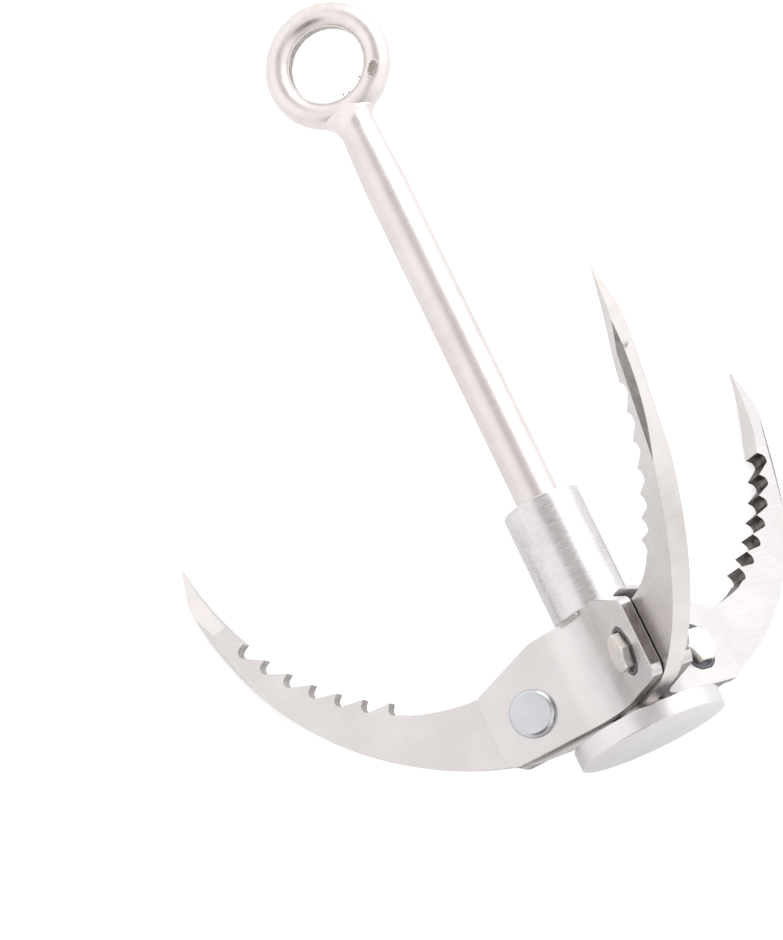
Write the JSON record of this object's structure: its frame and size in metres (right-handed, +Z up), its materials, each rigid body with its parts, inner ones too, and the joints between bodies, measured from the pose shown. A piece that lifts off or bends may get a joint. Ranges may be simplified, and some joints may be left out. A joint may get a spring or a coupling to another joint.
{
  "type": "folding grapnel anchor",
  "caption": "Folding stainless grapnel anchor: curved serrated claws pivoting on a folded-plate hub, locked by a disc on a sliding shank with a welded rope eye.",
  "frame": {"origin": "centre of the locking disc's flat underside, on the shank's axis", "axes": "+Z up the shank to the rope eye; claw 1 points along -X; the eye's hole runs along Y"},
  "size_m": [0.155, 0.1834, 0.2248],
  "materials": {
    "disc_steel": "fine turned stainless steel",
    "shank_steel": "linished stainless steel rod",
    "spring_steel": "plain spring steel",
    "eye_steel": "hand polished stainless steel",
    "weld_steel": "dressed weld bead",
    "collar_steel": "turned stainless steel, fine rings",
    "plate_steel": "satin stainless sheet",
    "claw_steel": "satin stainless plate, edges cut and ground",
    "bolt_steel": "bright turned stainless steel",
    "bush_steel": "plain machined stainless steel"
  },
  "bodies": {
    "hub": {"collar": "collar_steel", "collar_welds": "weld_steel", "hub_plate_1": "plate_steel", "hub_plate_2": "plate_steel", "hub_plate_3": "plate_steel", "pivot_bolt_1": "bolt_steel", "pivot_bolt_2": "bolt_steel", "pivot_bolt_3": "bolt_steel", "hex_bush_1": "bush_steel", "hex_bush_2": "bush_steel", "hex_bush_3": "bush_steel", "pivot_nut_1": "bolt_steel", "pivot_nut_2": "bolt_steel", "pivot_nut_3": "bolt_steel"},
    "disc": {"base_disc": "disc_steel"},
    "shank": {"shank_rod": "shank_steel", "stop_ring": "spring_steel", "eye_ring": "eye_steel", "eye_weld": "weld_steel"},
    "claw_1": {"claw_1": "claw_steel"},
    "claw_2": {"claw_2": "claw_steel"},
    "claw_3": {"claw_3": "claw_steel"}
  },
  "joints": [
    {"name": "shank_slide", "type": "slide", "parent": "hub", "child": "disc", "axis": [0, 0, -1], "range_m": [0, 0.011]},
    {"name": "shank_swivel", "type": "hinge", "parent": "disc", "child": "shank", "pos_m": [0, 0, 0.0053], "axis": [0, 0, 1], "continuous": true},
    {"name": "claw_1_fold", "type": "hinge", "parent": "hub", "child": "claw_1", "pos_m": [-0.025, 0, 0.0193], "axis": [0, 1, 0], "range_deg": [0, 50]},
    {"name": "claw_2_fold", "type": "hinge", "parent": "hub", "child": "claw_2", "pos_m": [0.0125, -0.02165, 0.0193], "axis": [-0.866, -0.5, 0], "range_deg": [0, 50]},
    {"name": "claw_3_fold", "type": "hinge", "parent": "hub", "child": "claw_3", "pos_m": [0.0125, 0.02165, 0.0193], "axis": [0.866, -0.5, 0], "range_deg": [0, 50]}
  ],
  "couplings": [
    {"joint": "claw_1_fold", "follows": "shank_slide", "rad_per_m": 79.3},
    {"joint": "claw_2_fold", "follows": "shank_slide", "rad_per_m": 79.3},
    {"joint": "claw_3_fold", "follows": "shank_slide", "rad_per_m": 79.3}
  ]
}
